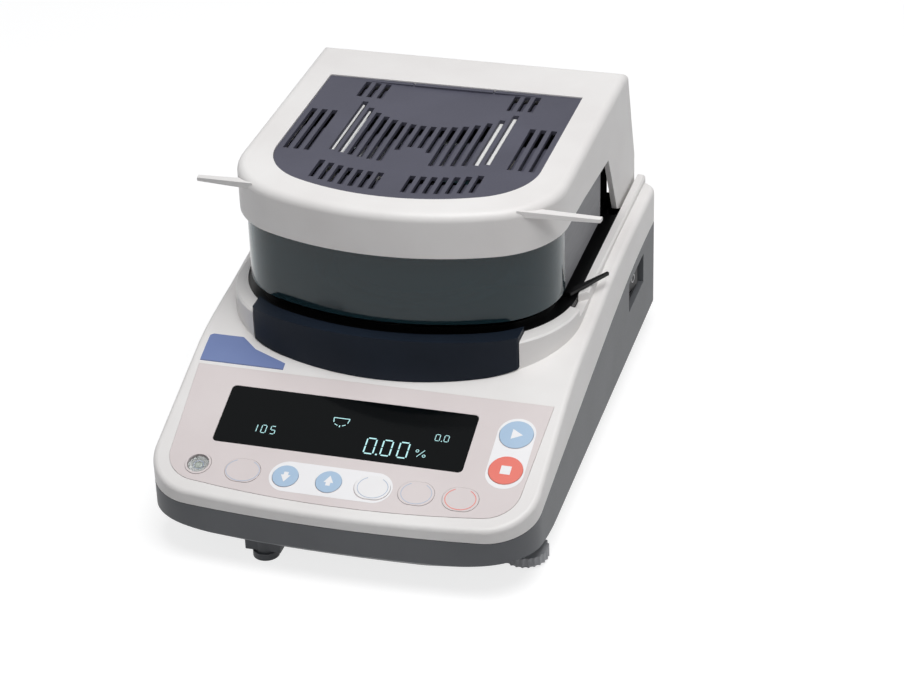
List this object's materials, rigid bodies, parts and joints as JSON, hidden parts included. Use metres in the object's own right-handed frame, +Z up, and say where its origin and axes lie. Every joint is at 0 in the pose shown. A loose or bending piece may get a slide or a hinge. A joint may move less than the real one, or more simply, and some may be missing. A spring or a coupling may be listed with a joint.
{
  "type": "moisture analyzer",
  "caption": "Halogen moisture analyser with hinged heater lid, smoked window, weighing chamber, sloping key panel with display, levelling feet and power switch.",
  "frame": {"origin": "on the floor, under the middle of the housing's footprint", "axes": "-Y towards the user at the key panel, +Z up, +X to the user's right"},
  "size_m": [0.23, 0.32, 0.173],
  "materials": {
    "housing_white": "fine satin",
    "housing_grey": "fine texture",
    "trim_navy": "satin",
    "chamber_black": "satin black",
    "panel_film": "printed film",
    "window_black": "gloss",
    "key_white": "film",
    "key_blue": "film",
    "key_coral": "film",
    "label_blue": "gloss film",
    "smoked_glass": "smoked",
    "grille_slate": "heat-resistant plastic",
    "liner_grey": "grey paint",
    "steel": "brushed",
    "chrome": "polished",
    "aluminium": "satin",
    "brass": "plain",
    "rubber_black": "matt",
    "black_plastic": "satin",
    "board_green": "solder mask",
    "clear_glass": "clear",
    "ceramic": "glazed",
    "iron": "varnished"
  },
  "bodies": {
    "base": {"lower_housing": "housing_grey", "upper_housing": "housing_white", "collar_band": "trim_navy", "chamber_rim": "chamber_black", "control_membrane": "panel_film", "display_window": "window_black", "display_module": "black_plastic", "key_board": "board_green", "key_switches": "black_plastic", "main_board": "board_green", "label_plate": "label_blue", "level_ring": "black_plastic", "level_vial": "clear_glass", "level_cup": "black_plastic", "front_stub_foot": "housing_grey", "rear_feet": "rubber_black", "weigh_cell_base": "aluminium", "weigh_cell": "aluminium", "transformer": "iron", "power_board": "board_green", "power_inlet": "black_plastic", "fuse_holder": "black_plastic", "serial_connector": "steel", "switch_frame": "black_plastic", "hinge_brackets": "steel", "housing_screws": "steel", "chamber_tub": "steel"},
    "lid": {"lid_shell": "housing_white", "lid_grille": "grille_slate", "lid_window": "smoked_glass", "lid_liner_left": "liner_grey", "lid_liner_right": "liner_grey", "lid_grip_left": "housing_white", "lid_grip_right": "housing_white", "lid_hinge_arms": "steel", "filter_frame": "liner_grey", "rear_shield": "chamber_black", "heat_filter": "clear_glass", "halogen_lamp": "clear_glass", "lamp_reflector": "aluminium", "lamp_brackets": "chrome", "lamp_holders": "ceramic", "temperature_sensor": "steel"},
    "weighing_post": {"pan_support": "steel"},
    "draft_ring": {"draft_ring": "aluminium"},
    "pan_handle": {"pan_handle": "chamber_black"},
    "sample_pan": {"sample_pan": "aluminium"},
    "power_rocker": {"power_rocker": "black_plastic"},
    "key_program": {"key_program": "key_white"},
    "key_down": {"key_down": "key_blue"},
    "key_up": {"key_up": "key_blue"},
    "key_select": {"key_select": "key_white"},
    "key_enter": {"key_enter": "key_white"},
    "key_reset": {"key_reset": "key_white"},
    "key_start": {"key_start": "key_blue"},
    "key_stop": {"key_stop": "key_coral"},
    "foot_pad_left": {"levelling_pad_left": "rubber_black"},
    "foot_wheel_left": {"levelling_wheel_left": "housing_grey"},
    "foot_pad_right": {"levelling_pad_right": "rubber_black"},
    "foot_wheel_right": {"levelling_wheel_right": "housing_grey"}
  },
  "joints": [
    {"name": "lid_hinge", "type": "hinge", "parent": "base", "child": "lid", "pos_m": [0, 0.143, 0.084], "axis": [-1, 0, 0], "range_deg": [0, 65]},
    {"name": "weighing_post_sink", "type": "slide", "parent": "base", "child": "weighing_post", "axis": [0, 0, -1], "range_m": [0, 0.0004], "stiffness_N_per_m": 6000},
    {"name": "draft_ring_lift", "type": "slide", "parent": "base", "child": "draft_ring", "axis": [0, 0, 1], "range_m": [0, 0.0025]},
    {"name": "pan_handle_lift", "type": "slide", "parent": "draft_ring", "child": "pan_handle", "axis": [0, 0, 1], "range_m": [0, 0.002]},
    {"name": "sample_pan_lift", "type": "slide", "parent": "pan_handle", "child": "sample_pan", "axis": [0, 0, 1], "range_m": [0, 0.025]},
    {"name": "power_rocker_tilt", "type": "hinge", "parent": "base", "child": "power_rocker", "pos_m": [0.0985, 0.1005, 0.055], "axis": [0, 0, 1], "range_deg": [0, 12]},
    {"name": "key_program_press", "type": "slide", "parent": "base", "child": "key_program", "axis": [0, 0.327, -0.945], "range_m": [0, 0.0005], "stiffness_N_per_m": 2500},
    {"name": "key_down_press", "type": "slide", "parent": "base", "child": "key_down", "axis": [0, 0.327, -0.945], "range_m": [0, 0.0005], "stiffness_N_per_m": 2500},
    {"name": "key_up_press", "type": "slide", "parent": "base", "child": "key_up", "axis": [0, 0.327, -0.945], "range_m": [0, 0.0005], "stiffness_N_per_m": 2500},
    {"name": "key_select_press", "type": "slide", "parent": "base", "child": "key_select", "axis": [0, 0.327, -0.945], "range_m": [0, 0.0005], "stiffness_N_per_m": 2500},
    {"name": "key_enter_press", "type": "slide", "parent": "base", "child": "key_enter", "axis": [0, 0.327, -0.945], "range_m": [0, 0.0005], "stiffness_N_per_m": 2500},
    {"name": "key_reset_press", "type": "slide", "parent": "base", "child": "key_reset", "axis": [0, 0.327, -0.945], "range_m": [0, 0.0005], "stiffness_N_per_m": 2500},
    {"name": "key_start_press", "type": "slide", "parent": "base", "child": "key_start", "axis": [0, 0.327, -0.945], "range_m": [0, 0.0005], "stiffness_N_per_m": 2500},
    {"name": "key_stop_press", "type": "slide", "parent": "base", "child": "key_stop", "axis": [0, 0.327, -0.945], "range_m": [0, 0.0005], "stiffness_N_per_m": 2500},
    {"name": "foot_left_height", "type": "slide", "parent": "base", "child": "foot_pad_left", "axis": [0, 0, -1], "range_m": [-0.0021, 0.0041]},
    {"name": "foot_left_turn", "type": "hinge", "parent": "foot_pad_left", "child": "foot_wheel_left", "pos_m": [-0.094, -0.112, 0.005], "axis": [0, 0, 1], "range_deg": [-720, 1440]},
    {"name": "foot_right_height", "type": "slide", "parent": "base", "child": "foot_pad_right", "axis": [0, 0, -1], "range_m": [-0.0021, 0.0041]},
    {"name": "foot_right_turn", "type": "hinge", "parent": "foot_pad_right", "child": "foot_wheel_right", "pos_m": [0.094, -0.112, 0.005], "axis": [0, 0, 1], "range_deg": [-720, 1440]}
  ],
  "couplings": [
    {"joint": "foot_left_height", "follows": "foot_left_turn", "m_per_rad": 0.00015915},
    {"joint": "foot_right_height", "follows": "foot_right_turn", "m_per_rad": 0.00015915}
  ]
}
